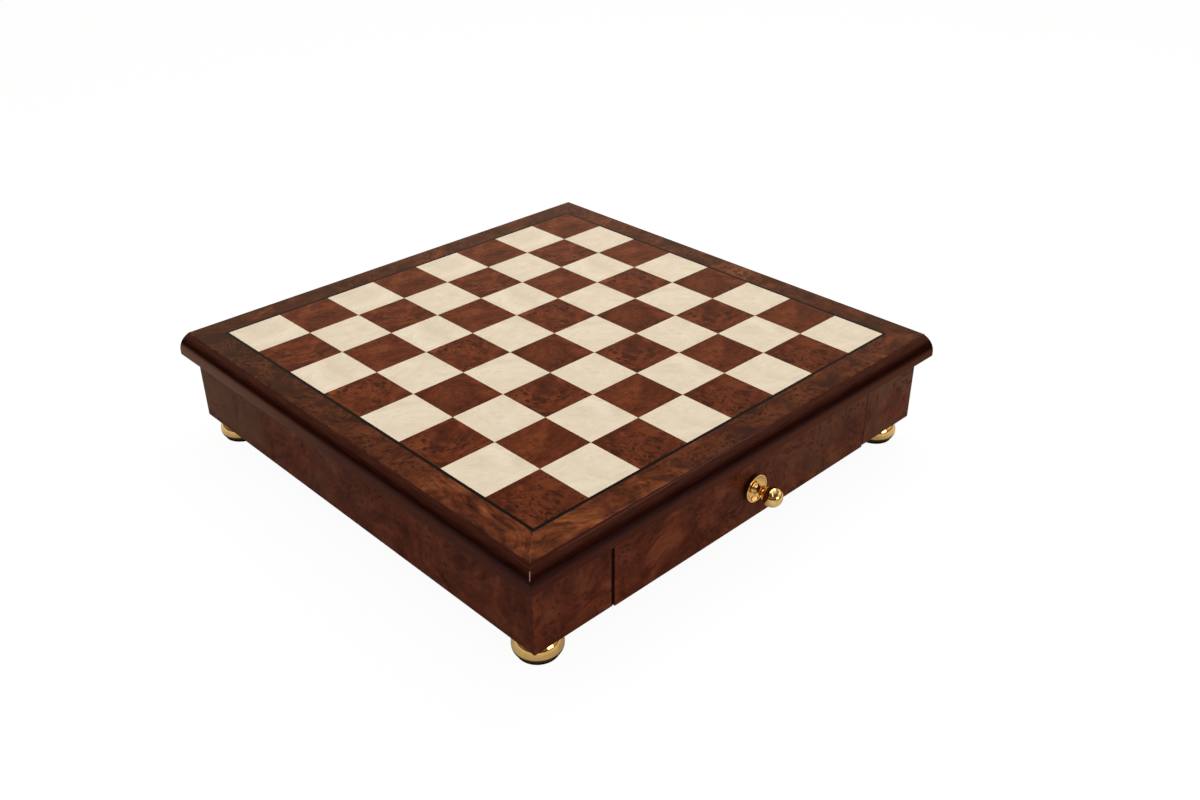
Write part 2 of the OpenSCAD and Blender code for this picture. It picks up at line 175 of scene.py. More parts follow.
def burl_colour(tree, point, number, tones, eye_tones, eyes=1.0, smoke_and_sheen=0.0, smoke_and_sheen_tone="#2c1b15",
                flame=0.2, fibre=0.14, along=0, slant=0.0, crowd=0.44):
    """Colour of burl veneer at a point in millimetres, on the leaf with this number.

    All noises are read on a point that two slower noises have pushed about. The figure runs through
    tones, dark to light. Flames are streaks 5 mm wide and six times as long, and fibres are finer
    ones: they darken and lighten it by these shares. They run along one axis, turned back from it
    about Z by slant degrees. Smoke is a slow stain over both; on the carcass walls the same mix
    carries a painted reflection instead. Eyes are the middles of cells 4.5 mm wide, each with a
    dark pin of its own size and a paler ring, gathered where a slow noise is above crowd, over a
    dark cloud."""
    flow = add_node(tree, "TexNoise", {"Vector": point, "W": number, "Scale": 0.020, "Detail": 1.0},
                    noise_dimensions="4D")["Color"]
    flow = add_node(tree, "VectorMath", {0: flow, 1: (2 * FLOW,) * 3, 2: (-FLOW,) * 3},
                    "MULTIPLY_ADD")[0]
    swept = add_node(tree, "VectorMath", {0: point, 1: flow}, "ADD")[0]
    curl = add_node(tree, "TexNoise", {"Vector": swept, "W": number, "Scale": 0.10, "Detail": 2.0},
                    noise_dimensions="4D")["Color"]
    curl = add_node(tree, "VectorMath", {0: curl, 1: (2 * CURL,) * 3, 2: (-CURL,) * 3},
                    "MULTIPLY_ADD")[0]
    curled = add_node(tree, "VectorMath", {0: swept, 1: curl}, "ADD")[0]

    figure = add_node(tree, "TexNoise", {"Vector": curled, "W": number, "Scale": 0.055,
                                         "Detail": 5.0, "Roughness": 0.62},
                      noise_dimensions="4D")["Fac"]
    colour = add_node(tree, "ValToRGB", {"Fac": figure},
                      stops=[(0.36, tones[0]), (0.5, tones[1]), (0.64, tones[2])])["Color"]
    drawn, fine = [1.0, 1.0, 1.0], [1.0, 1.0, 1.0]
    drawn[along], fine[along] = 0.16, 0.3
    bent = add_node(tree, "VectorMath", {0: curl, 1: (STREAK_CURL,) * 3, 2: swept},
                    "MULTIPLY_ADD")[0]
    turned_back = add_node(tree, "VectorRotate", {"Vector": bent, "Angle": math.radians(slant)},
                           rotation_type="Z_AXIS")[0]
    for stretch, scale, share in ((drawn, 0.22, flame), (fine, 0.55, fibre)):
        streak = add_node(tree, "VectorMath", {0: turned_back, 1: stretch}, "MULTIPLY")[0]
        streak = add_node(tree, "TexNoise",
                          {"Vector": streak, "W": number, "Scale": scale, "Detail": 3.0},
                          noise_dimensions="4D")["Fac"]
        streak = add_node(tree, "MapRange", {"Value": streak, "From Min": 0.36, "From Max": 0.64,
                                             "To Min": -1.0, "To Max": 1.0}, clamp=False)[0]
        streak = add_node(tree, "Math", {0: streak, 1: share, 2: 1.0}, "MULTIPLY_ADD")[0]
        colour = add_node(tree, "VectorMath", {0: colour, "Scale": streak}, "SCALE")[0]

    # The slow stain: real smoke in the border veneer, a painted reflection on the carcass walls
    haze = add_node(tree, "TexNoise", {"Vector": swept, "W": number, "Scale": 0.022, "Detail": 3.0},
                    noise_dimensions="4D")["Fac"]
    haze = add_node(tree, "MapRange", {"Value": haze, "From Min": 0.32, "From Max": 0.56},
                    **EASED)[0]
    haze = add_node(tree, "Math", {0: haze, 1: smoke_and_sheen}, "MULTIPLY")[0]
    colour = add_node(tree, "Mix", {0: haze, 6: colour, 7: linear(smoke_and_sheen_tone)}, data_type="RGBA")[2]

    gather = add_node(tree, "TexNoise",
                      {"Vector": swept, "W": number, "Scale": 0.035, "Detail": 1.0},
                      noise_dimensions="4D")["Fac"]
    gather = add_node(tree, "MapRange", {"Value": gather, "From Min": crowd,
                                         "From Max": crowd + 0.08, "To Max": eyes}, **EASED)[0]
    shifted = add_node(tree, "CombineXYZ", {"X": number, "Y": number, "Z": 0.0})[0]
    shifted = add_node(tree, "VectorMath", {0: shifted, 1: (EYE_STEP,) * 3, 2: curled},
                       "MULTIPLY_ADD")[0]
    ragged = add_node(tree, "TexNoise", {"Vector": point, "Scale": 0.35, "Detail": 1.0})["Color"]
    shifted = add_node(tree, "VectorMath", {0: ragged, 1: (EYE_RAGGED,) * 3, 2: shifted},
                       "MULTIPLY_ADD")[0]
    cell = add_node(tree, "TexVoronoi", {"Vector": shifted, "Scale": 0.22})
    chance = add_node(tree, "SeparateXYZ", {0: cell["Color"]})["X"]
    size = add_node(tree, "MapRange", {"Value": chance, "From Min": 0.1, "To Min": 0.2,
                                       "To Max": 0.76})[0]
    heart = add_node(tree, "Math", {0: size, 1: 0.36}, "SUBTRACT")[0]
    pin = add_node(tree, "MapRange", {"Value": cell["Distance"], "From Min": size,
                                      "From Max": heart, "To Max": 0.8}, **EASED)[0]
    pin = add_node(tree, "Math", {0: pin, 1: gather}, "MULTIPLY")[0]
    ring = add_node(tree, "MapRange", {"Value": cell["Distance"], "From Min": 0.75,
                                       "From Max": 0.45, "To Max": 0.45}, **EASED)[0]
    ring = add_node(tree, "Math", {0: ring, 1: gather}, "MULTIPLY")[0]
    colour = add_node(tree, "Mix", {0: ring, 6: colour, 7: linear(eye_tones[1])},
                      data_type="RGBA")[2]
    cloud = add_node(tree, "TexNoise",
                     {"Vector": curled, "W": number, "Scale": 0.11, "Detail": 3.0},
                     noise_dimensions="4D")["Fac"]
    cloud = add_node(tree, "MapRange", {"Value": cloud, "From Min": 0.50, "From Max": 0.66,
                                        "To Max": 0.75}, **EASED)[0]
    cloud = add_node(tree, "Math", {0: cloud, 1: gather}, "MULTIPLY")[0]
    pin = add_node(tree, "Math", {0: pin, 1: cloud}, "MAXIMUM")[0]
    return add_node(tree, "Mix", {0: pin, 6: colour, 7: linear(eye_tones[0])}, data_type="RGBA")[2]


def lacquered(tree, point, colour, weight=LACQUER_WEIGHT):
    """Ends a material in veneer under satin lacquer. Rubbing down leaves the coat faintly uneven,
    in waves of 4 mm."""
    wave = add_node(tree, "TexNoise", {"Vector": point, "Scale": 0.25, "Detail": 2.0})["Fac"]
    film = add_node(tree, "Bump", {"Height": wave, "Strength": 0.05, "Distance": 0.0002})["Normal"]
    end_finish(tree, {"Base Color": colour, "Roughness": 0.5, "Specular IOR Level": 0.0,
                      "Coat Weight": weight, "Coat Roughness": LACQUER_ROUGHNESS,
                      "Coat Normal": film})


dark_burl, tree, point = begin_finish("stained_burl_squares")
place, number, odd = leaf_point(tree, point)
# Every second row comes from a stack with half as many eyes
row_eyes = add_node(tree, "Math", {0: odd, 1: -0.5, 2: 1.0}, "MULTIPLY_ADD")[0]
colour = burl_colour(tree, place, number, ("#481d0e", "#5b2813", "#763b1e"),
                     ("#270c06", "#7f4223"), row_eyes)
# Painted light: the squares are painted darker towards the first drawer and lighter towards the
# back, where more light falls on the board
part = add_node(tree, "SeparateXYZ", {0: point})
depth = add_node(tree, "MapRange", {"Value": part["Y"], "From Min": -FIELD, "From Max": 60.0,
                                    "To Min": 0.88, "To Max": 1.03})[0]
colour = add_node(tree, "VectorMath", {0: colour, "Scale": depth}, "SCALE")[0]
lacquered(tree, point, colour)
coat_with(dark_burl, "dark_squares")

pale_burl, tree, point = begin_finish("bleached_burl_squares")
place, number, _ = leaf_point(tree, point)
place = add_node(tree, "VectorMath", {0: place, 1: (0, 0, PALE_LOG)}, "ADD")[0]
colour = burl_colour(tree, place, number, ("#d8ccb4", "#e0d4bd", "#e6dbc6"),
                     ("#d0c4ac", "#e5dac5"), eyes=0.5, flame=0.02, fibre=0.03)
lacquered(tree, point, colour)
coat_with(pale_burl, "light_squares")

# ---- Black line ----
# Four strips of dyed black veneer, 2.5 mm wide, mitred round the field. The dye is not quite even
# along the fibres.

SIDES = ("front", "right", "back", "left")

black_line, tree, point = begin_finish("dyed_black_veneer")
streak = add_node(tree, "TexNoise", {"Vector": point, "Scale": 0.6, "Detail": 3.0})["Fac"]
colour = add_node(tree, "ValToRGB", {"Fac": streak},
                  stops=[(0.35, "#0d0806"), (0.65, "#1b120d")])["Color"]
lacquered(tree, point, colour)
coat_with(black_line, *("stringing_" + side for side in SIDES))

# ---- Border ----
# Burl veneer strips 20.5 mm wide, mitred at the corners, with the outer arris rubbed round. The
# front strip is joined from two lengths, with the smoky end of one against the paler end of the
# other.

CORE_TOP = 91.4
TOP = 92.0
STRING_OUT = 182.5
ARRIS = 203.0
BORDER_JOINT = ARRIS - 72.0
SEAM = 0.1
JOINED_STEP = 6.0  # how much higher the number of the leaf past the joint is
JOINED_CLEAR = 0.35  # and the share of the smoke that it lacks
CUT_EDGE = 0.3
ARRIS_EASE = 0.5
FLAT_START = 0.2  # width of the strip that a flat face starts with beside an arc, to be shaded flat


def arc(middle, radius, start, stop, steps):
    """Points (out, up) on a circle about middle, from one angle to the other, in degrees from the
    outward axis."""
    angle = np.radians(np.linspace(start, stop, steps))
    return np.column_stack([middle[0] + radius * np.cos(angle), middle[1] + radius * np.sin(angle)])


def shell(name, parts, sharp=35):
    """One object from closed grids of points in millimetres. A grid's first index steps along rings
    that wrap round on its second. It closes on the two points in ends, or where ends is None its
    last ring meets its first. Six times the volume, the sum of a . (b x c) over its triangles, is
    below zero where it is inside out, and its faces are then turned. Edges sharper than sharp
    degrees are kept sharp."""
    points, faces = [], []
    for grid, ends in parts:
        rings, around = grid.shape[:2]
        first = sum(len(p) for p in points)
        i, j = np.meshgrid(np.arange(rings - (ends is not None)), np.arange(around), indexing="ij")
        k, l = (i + 1) % rings, (j + 1) % around
        quads = np.stack([i * around + j, i * around + l, k * around + l, k * around + j], -1)
        here, made = [grid.reshape(-1, 3)], quads.reshape(-1, 4).tolist()
        if ends is not None:
            here.append(np.array(ends, float))
            near = np.arange(around)
            far = near + (rings - 1) * around
            tip = rings * around
            fans = [np.column_stack([np.roll(near, -1), near, np.full(around, tip)]),
                    np.column_stack([far, np.roll(far, -1), np.full(around, tip + 1)])]
            made += np.concatenate(fans).tolist()
        here = np.concatenate(here)
        tri = np.array([f[:3] for f in made] + [[f[0], *f[2:]] for f in made if len(f) == 4])
        a, b, c = (here[tri[:, n]] - here.mean(0) for n in range(3))
        if (a * np.cross(b, c)).sum() < 0:
            made = [f[::-1] for f in made]
        points.append(here)
        faces += [[v + first for v in f] for f in made]
    mesh = bpy.data.meshes.new(name)
    mesh.from_pydata(np.concatenate(points) * MM, [], faces)
    mesh.shade_smooth()
    mesh.set_sharp_from_angle(angle=math.radians(sharp))
    piece = bpy.data.objects.new(name, mesh)
    bpy.context.scene.collection.objects.link(piece)
    return piece


def bar(section, turns, start=None, stop=None):
    """A straight bar along one side of the board: the section's points (out, up), carried along x
    from mitre to mitre, where x = -out and x = out, or cut square at start or stop, and turned by
    quarters about Z."""
    out, up = section.T
    left = -out if start is None else np.full_like(out, start)
    right = out if stop is None else np.full_like(out, stop)
    grid = np.stack([np.column_stack([x, -out, up]) for x in (left, right)])
    c, s = np.cos(np.radians(90 * turns)), np.sin(np.radians(90 * turns))
    spin = np.array([[c, -s, 0], [s, c, 0], [0, 0, 1]])
    grid = grid @ spin.T
    return grid, (grid[0].mean(0), grid[1].mean(0))


def take(piece, finish, body, slot, *nodes):
    """Gives a new piece its material and its body, and hides the nodes that it stands for. slot is
    not used.
    """
    piece.data.materials.append(finish)
    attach(piece, body)
    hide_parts(*nodes)
    return piece


def off_mitre(tree, point):
    """How far a point is from the nearest mitre's plane, in millimetres along x: ||x| - |y||."""
    flat = add_node(tree, "VectorMath", {0: point}, "ABSOLUTE")[0]
    flat = add_node(tree, "SeparateXYZ", {0: flat})
    off = add_node(tree, "Math", {0: flat["X"], 1: flat["Y"]}, "SUBTRACT")[0]
    return add_node(tree, "Math", {0: off}, "ABSOLUTE")[0]


border_section = np.concatenate([
    [[STRING_OUT, CORE_TOP], [ARRIS, CORE_TOP]],
    arc((ARRIS - ARRIS_EASE, TOP - ARRIS_EASE), ARRIS_EASE, 0, 90, 6),
    [[ARRIS - ARRIS_EASE - FLAT_START, TOP], [STRING_OUT, TOP]],
])
border_leaves = {"front": 21.3, "right": 33.1, "back": 47.9, "left": 58.2}
for turns, side in enumerate(SIDES):
    veneer, tree, point = begin_finish("border_burl_" + side)
    along = add_node(tree, "SeparateXYZ", {0: point})[turns % 2]
    # Towards its right or back end a strip has more smoke and eyes, and weaker flames
    smoky = add_node(tree, "MapRange", {"Value": along, "From Min": -110.0, "From Max": 0.0,
                                        "To Min": 0.1 if side in ("front", "left") else 0.8,
                                        "To Max": 0.9}, **EASED)[0]
    flame = add_node(tree, "MapRange", {"Value": along, "From Min": -190.0, "From Max": -40.0,
                                        "To Min": 0.65, "To Max": 0.16})[0]
    eyed = add_node(tree, "MapRange", {"Value": along, "From Min": -150.0, "From Max": -70.0,
                                       "To Min": 0.3, "To Max": 0.9})[0]
    number = border_leaves[side]
    if side == "front":
        past = add_node(tree, "Math", {0: along, 1: BORDER_JOINT}, "GREATER_THAN")[0]
        number = add_node(tree, "Math", {0: past, 1: JOINED_STEP, 2: number}, "MULTIPLY_ADD")[0]
        clear = add_node(tree, "Math", {0: past, 1: -JOINED_CLEAR, 2: 1.0}, "MULTIPLY_ADD")[0]
        smoky = add_node(tree, "Math", {0: smoky, 1: clear}, "MULTIPLY")[0]
    colour = burl_colour(tree, point, number, ("#3f1b0d", "#5e2e18", "#7f4827"),
                         ("#1c0a06", "#6f3b1f"), eyed, smoky, "#31190f", flame,
                         along=turns % 2, slant=20.0, crowd=0.40)
    # The veneer's cut edge shows a little paler at the mitres, as a line 0.4 mm wide
    pale = add_node(tree, "Mix", {0: 0.22, 6: colour, 7: linear("#8a5a3c")}, data_type="RGBA")[2]
    cut_edge = add_node(tree, "Math", {0: off_mitre(tree, point), 1: CUT_EDGE}, "LESS_THAN")[0]
    colour = add_node(tree, "Mix", {0: cut_edge, 6: colour, 7: pale}, data_type="RGBA")[2]
    lacquered(tree, point, colour)
    if side == "front":
        lengths = [bar(border_section, turns, stop=BORDER_JOINT),
                   bar(border_section, turns, start=BORDER_JOINT + SEAM)]
    else:
        lengths = [bar(border_section, turns)]
    take(shell("border_" + side + "_veneer", lengths), veneer, "box", "border_burl",
         "border_" + side)

# ---- Moulding ----
# Solid mahogany lipping round the board, mitred, stained dark and lacquered to a high gloss. Its
# section is a straight band with a round above it. The round is painted nearly black, as painted
# shade and dark reflection, which thins out on the band; its upper part is painted brown again
# along the arris, as a painted highlight, and the band is painted paler towards the far left
# corner, as a painted reflection.

BOARD_Z = 72.0
BOARD = ARRIS + 6.0
CORE = ARRIS - 10.0
BAND = 4.0
ROUND_RISE = CORE_TOP - BOARD_Z - BAND
ROUND_R = ((BOARD - ARRIS) ** 2 + ROUND_RISE ** 2) / (2 * (BOARD - ARRIS))
ROUND_END = math.degrees(math.asin(ROUND_RISE / ROUND_R))
BAND_EASE = 1.6
ROUND_SHADE_LOW, ROUND_SHADE_HIGH = 77.0, 81.4
ROUND_SHADE_LIFT = 1.5  # how much higher the painted dark starts on the left and back bars
ROUND_SHADE_SLOPE = 0.0036  # and how much more for each millimetre towards the far left corner
ARRIS_SHEEN_LOW, ARRIS_SHEEN_HIGH = 83.5, 91.2
DEEP_AT, LIGHTER_AT = -400.0, -100.0  # x + y where the band is deepest, and where it is lighter
BAND_SHEEN_FROM, BAND_SHEEN_TO = 196.0, 431.0  # y - x where the painted reflection on the band starts, and where it is full
GLINT_AT = (-207.0, -207.0, 86.5)
GLINT_R = 3.0
GLINT_EDGE = 0.35

moulding_section = np.concatenate([
    [[CORE, BOARD_Z], [BOARD - BAND_EASE - FLAT_START, BOARD_Z]],
    arc((BOARD - BAND_EASE, BOARD_Z + BAND_EASE), BAND_EASE, -90, 0, 7),
    [[BOARD, BOARD_Z + BAND_EASE + FLAT_START]],
    arc((BOARD - ROUND_R, BOARD_Z + BAND), ROUND_R, 0, ROUND_END, 25),
    [[CORE, CORE_TOP]],
])

mahogany, tree, point = begin_finish("mahogany_high_gloss")
part = add_node(tree, "SeparateXYZ", {0: point})
to_back_right = add_node(tree, "Math", {0: part["X"], 1: part["Y"]}, "ADD")[0]
to_far_left = add_node(tree, "Math", {0: part["Y"], 1: part["X"]}, "SUBTRACT")[0]
lighter = add_node(tree, "MapRange", {"Value": to_back_right, "From Min": DEEP_AT,
                                      "From Max": LIGHTER_AT})[0]
painted_band_sheen = add_node(tree, "MapRange", {"Value": to_far_left, "From Min": BAND_SHEEN_FROM,
                                    "From Max": BAND_SHEEN_TO})[0]
left_bars = add_node(tree, "Math", {0: to_far_left, 1: 0.0}, "GREATER_THAN")[0]
higher = add_node(tree, "Math", {0: to_far_left, 1: ROUND_SHADE_SLOPE, 2: ROUND_SHADE_LIFT}, "MULTIPLY_ADD")[0]
higher = add_node(tree, "Math", {0: higher, 1: left_bars}, "MULTIPLY")[0]
# Painted shade: the round is painted nearly black from this height up
round_shade_z = add_node(tree, "Math", {0: part["Z"], 1: higher}, "SUBTRACT")[0]
painted_round_shade = add_node(tree, "MapRange", {"Value": round_shade_z, "From Min": ROUND_SHADE_LOW,
                                    "From Max": ROUND_SHADE_HIGH}, **EASED)[0]
# Painted highlight: the upper part of the round is painted brown again up to the arris
painted_arris_sheen = add_node(tree, "MapRange", {"Value": part["Z"], "From Min": ARRIS_SHEEN_LOW,
                                     "From Max": ARRIS_SHEEN_HIGH}, **EASED)[0]
# Mahogany's pores are 0.2 mm wide and some millimetres long: along x on two bars, along y on two
across = add_node(tree, "VectorMath", {0: point, 1: (0.06, 0.06, 1.0)}, "MULTIPLY")[0]
pores = add_node(tree, "TexNoise", {"Vector": across, "Scale": 0.9, "Detail": 4.0})["Fac"]
band_tone, round_shade_tone, arris_sheen_tone = (
    add_node(tree, "ValToRGB", {"Fac": pores}, stops=[(0.35, deep), (0.65, light)])["Color"]
    for deep, light in (("#361106", "#481b08"), ("#1a0604", "#280c07"), ("#36160d", "#4a2217")))
# A painted highlight: a small pale patch on the sharp edge at the front left mitre
painted_glint = add_node(tree, "VectorMath", {0: point, 1: GLINT_AT}, "DISTANCE")["Value"]
painted_glint = add_node(tree, "Math", {0: painted_glint, 1: GLINT_R}, "LESS_THAN")[0]
edge = add_node(tree, "Math", {0: off_mitre(tree, point), 1: GLINT_EDGE}, "LESS_THAN")[0]
painted_glint = add_node(tree, "Math", {0: painted_glint, 1: edge}, "MULTIPLY")[0]
# The band is deepest at the front left corner and is lighter away from it, and is painted paler and
# greyer towards the far left one, as a painted reflection. The painted dark round, the painted
# highlight along the upper arris and the painted highlight at the mitre lie over it
colour = band_tone
for share, tone in ((lighter, linear("#4b230e")), (painted_band_sheen, linear("#6e5040")), (painted_round_shade, round_shade_tone),
                    (painted_arris_sheen, arris_sheen_tone), (painted_glint, linear("#a38a7d"))):
    colour = add_node(tree, "Mix", {0: share, 6: colour, 7: tone}, data_type="RGBA")[2]
end_finish(tree, {"Base Color": colour, "Roughness": 0.4, "Specular IOR Level": 0.0,
                  "Coat Weight": 0.14, "Coat Roughness": 0.05})
for turns, side in enumerate(SIDES):
    lipping = shell("moulding_" + side + "_bar", [bar(moulding_section, turns)])
    take(lipping, mahogany, "box", "moulding", "moulding_" + side)

# ---- Carcass walls and posts ----
# MDF walls 12 mm thick, mitred at the corners, with burl veneer on the outside only. The edges are
# stained black and left without lacquer, as is the back of a drawer front. A strip 1 mm wide round
# the arrises beside a drawer is painted black as well, as painted shade of the drawer's gap. The
# inside of the walls and posts is bare.

BODY = 200.0
VENEER_T = 0.6
WALL_T = 12.0
WALL_LACQUER = 0.09
DRAWER_X = 1.5
OPENING_HALF = 135.5
GAP_SHADE_W = 1.1
SKIN = 0.1  # a point this close to a wall's inner face belongs to it
edge_stain = linear("#0e0806")


def carcass_veneer(name, number, axis):
    """Burl where a point lies less than a veneer under the outside, stained edge behind it, bare
    MDF inside. Towards the far end of its axis, 0 for x or 1 for y, the burl is painted greyer and
    paler, as a painted reflection."""
    finish, tree, point = begin_finish(name)
    along = add_node(tree, "SeparateXYZ", {0: point})[axis]
    # Painted reflection: a pale grey tone is mixed in more and more towards the far end
    painted_wall_sheen = add_node(tree, "MapRange", {"Value": along, "From Min": -60.0, "From Max": BODY,
                                         "To Max": 0.8})[0]
    colour = burl_colour(tree, point, number, ("#411b0e", "#582818", "#6f3a24"),
                         ("#2a100a", "#67341f"), 0.7, painted_wall_sheen, "#5d4434",
                         flame=0.12, fibre=0.12, along=axis)
    if axis == 0:
        # Painted shade of the drawer's gap: a strip about 1 mm wide either side of the opening's
        # edge is painted near black
        across = add_node(tree, "Math", {0: along, 1: DRAWER_X}, "SUBTRACT")[0]
        across = add_node(tree, "Math", {0: across}, "ABSOLUTE")[0]
        gap_shade = add_node(tree, "Math", {0: across, 1: OPENING_HALF, 2: GAP_SHADE_W}, "COMPARE")[0]
        colour = add_node(tree, "Mix", {0: gap_shade, 6: colour, 7: edge_stain}, data_type="RGBA")[2]
    size = add_node(tree, "VectorMath", {0: point}, "ABSOLUTE")[0]
    part = add_node(tree, "SeparateXYZ", {0: size})
    reach = add_node(tree, "Math", {0: part["X"], 1: part["Y"]}, "MAXIMUM")[0]
    under = add_node(tree, "Math", {0: reach, 1: BODY - VENEER_T}, "LESS_THAN")[0]
    inside = add_node(tree, "Math", {0: reach, 1: BODY - WALL_T + SKIN}, "LESS_THAN")[0]
    edge = add_node(tree, "Mix", {0: inside, 6: edge_stain, 7: mdf_colour(tree, point)},
                    data_type="RGBA")[2]
    colour = add_node(tree, "Mix", {0: under, 6: colour, 7: edge}, data_type="RGBA")[2]
    weight = add_node(tree, "Math", {0: under, 1: -WALL_LACQUER, 2: WALL_LACQUER},
                      "MULTIPLY_ADD")[0]
    lacquered(tree, point, colour, weight)
    return finish


front_burl = carcass_veneer("carcass_burl_front", number=71.4, axis=0)
back_burl = carcass_veneer("carcass_burl_back", number=82.6, axis=0)
coat_with(front_burl, "post_front_left", "post_front_right")
coat_with(back_burl, "post_back_left", "post_back_right")
coat_with(carcass_veneer("carcass_burl_left", number=93.2, axis=1), "side_left")
coat_with(carcass_veneer("carcass_burl_right", number=104.9, axis=1), "side_right")

# ---- Bottom panel ----
# Birch plywood 4 mm thick, glued between the walls. Its edges show the plies, and its faces a
# quiet, wide figure.


def plywood(name, low, plies, ply_t):
    """Plywood with its faces in x and y, and its figure drawn out along y. A point's ply is its
    height over low divided by ply_t, rounded down and kept between 0 and plies - 1. Every second
    ply is darker, because its end grain shows on the edge."""
    finish, tree, point = begin_finish(name)
    odd = add_node(tree, "SeparateXYZ", {0: point})["Z"]
    for operation, value in (("SUBTRACT", low), ("DIVIDE", ply_t), ("FLOOR", 0.0),
                             ("MAXIMUM", 0.0), ("MINIMUM", plies - 1.0), ("MODULO", 2.0)):
        odd = add_node(tree, "Math", {0: odd, 1: value}, operation=operation)[0]
    grain = add_node(tree, "VectorMath", {0: point, 1: (1.0, 0.07, 1.0)}, "MULTIPLY")[0]
    figure = add_node(tree, "TexNoise", {"Vector": grain, "Scale": 0.06, "Detail": 6.0,
                                         "Roughness": 0.6, "Distortion": 0.6})["Fac"]
    face = add_node(tree, "ValToRGB", {"Fac": figure},
                    stops=[(0.3, "#b48f64"), (0.5, "#c9a77b"), (0.7, "#d8ba90")])["Color"]
    colour = add_node(tree, "Mix", {0: odd, 6: face, 7: linear("#9a7448")}, data_type="RGBA")[2]
    nap = add_node(tree, "Bump", {"Height": figure, "Strength": 0.2, "Distance": 0.0002})["Normal"]
    end_finish(tree, {"Base Color": colour, "Roughness": 0.7, "Specular IOR Level": 0.25,
                      "Normal": nap})
    return finish


coat_with(plywood("birch_plywood_panel", low=18.0, plies=5, ply_t=0.8), "bottom_panel")

# ---- Guides, stop and glue blocks ----
# Planed pine strips glued on the panel: two that the drawers slide between, a bar across the
# middle that both drawers close against, and a block in each corner for the foot screws.

RING_BEND = 60.0  # how far the slow noise bends the growth rings, in millimetres
RING_SHARE = 0.45  # how much the rings count beside the fibres
CORNERS = {"front_left": (-1, -1), "front_right": (1, -1),
           "back_left": (-1, 1), "back_right": (1, 1)}


def plain_wood(name, along, tones, ring_mm, rough, coat=0.0):
    """Straight-grained wood with its fibres along one axis, 0 for x, 1 for y or 2 for z.

    Growth rings are bands ring_mm apart across the fibres, bent by a slow noise, and fibres are a
    noise drawn out twenty times along the axis."""
    finish, tree, point = begin_finish(name)
    draw = [1.0, 1.0, 1.0]
    draw[along] /= 20
    grain = add_node(tree, "VectorMath", {0: point, 1: draw}, "MULTIPLY")[0]
    bend = add_node(tree, "TexNoise", {"Vector": grain, "Scale": 0.05, "Detail": 2.0})["Fac"]
    part = add_node(tree, "SeparateXYZ", {0: grain})
    side = add_node(tree, "Math", {0: part[(along + 1) % 3], 1: part[(along + 2) % 3]},
                    "ADD")[0]
    turn = add_node(tree, "Math", {0: bend, 1: RING_BEND, 2: side}, "MULTIPLY_ADD")[0]
    wave = add_node(tree, "Math", {0: turn, 1: 2 * math.pi / ring_mm}, "MULTIPLY")[0]
    wave = add_node(tree, "Math", {0: wave}, "SINE")[0]
    ring = add_node(tree, "MapRange", {"Value": wave, "From Min": -1.0, "From Max": 1.0})[0]
    fibre = add_node(tree, "TexNoise", {"Vector": grain, "Scale": 1.2, "Detail": 4.0})["Fac"]
    mixed = add_node(tree, "Math", {0: ring, 1: RING_SHARE, 2: fibre}, "MULTIPLY_ADD")[0]
    colour = add_node(tree, "ValToRGB", {"Fac": mixed},
                      stops=[(0.35, tones[0]), (0.7, tones[1]), (1.0, tones[2])])["Color"]
    nap = add_node(tree, "Bump", {"Height": fibre, "Strength": 0.25, "Distance": 0.0002})["Normal"]
    end_finish(tree, {"Base Color": colour, "Roughness": rough, "Specular IOR Level": 0.25,
                      "Normal": nap, "Coat Weight": coat, "Coat Roughness": 0.3})
    return finish


pine = {"tones": ("#b98a55", "#cfa36c", "#dcb984"), "ring_mm": 3.5, "rough": 0.65}
coat_with(plain_wood("planed_pine_long", along=1, **pine), "guide_left", "guide_right",
          *("corner_block_" + corner for corner in CORNERS))
coat_with(plain_wood("planed_pine_cross", along=0, **pine), "centre_stop")

# ---- Feet ----
# Turned brass buns, polished and clear-lacquered, each held by a wood screw from below through its
# bore. A black rubber pad fills the foot's base and hides the screw's head.

FOOT_AT = 182.0
FOOT_H = 18.0
FOOT_R = 17.0
BELLY_Z = 7.2
FOOT_TOP_R = 11.3
FOOT_BASE_R = 14.5
PAD_T = 1.5
PAD_R = 14.2
PAD_EASE = 0.35
SOLE_R = PAD_R - 0.4  # where the flat sole ends and its rounded edge begins
HUB_R = 0.4  # the pad's two faces start with a ring of this radius round their middle
GROOVES = (4.0, 7.5, 11.0)
GROOVE_DEPTH = 0.4
GROOVE_HALF = 0.45
FOOT_BORE_R = 2.05
FOOT_SINK_R = 3.9
FOOT_SINK_Z = 4.2
AROUND = 96


def turned(profile, middle, out=(0, 0, 1)):
    """A turning: each point (r, w) of the profile becomes a ring of radius r, at w along the axis
    out from middle."""
    out = np.array(out, float)
    side = np.array([1.0, 0, 0])
    rise = np.cross(out, side)
    angle = np.arange(AROUND) * 2 * np.pi / AROUND
    circle = np.cos(angle)[:, None] * side + np.sin(angle)[:, None] * rise
    return np.array(middle) + profile[:, :1, None] * circle + profile[:, 1:, None] * out


def belly_arc(end_r, end_z, steps):
    """Half of the bun's side: an arc upright at the belly, with its middle on the belly's level,
    that ends at (end_r, end_z). Its radius is (depth squared + rise squared) / (2 depth)."""
    depth, rise = FOOT_R - end_r, end_z - BELLY_Z
    radius = (depth ** 2 + rise ** 2) / (2 * depth)
    return arc((FOOT_R - radius, BELLY_Z), radius, 0, math.degrees(math.asin(rise / radius)), steps)


brass, tree, point = begin_finish("polished_brass")
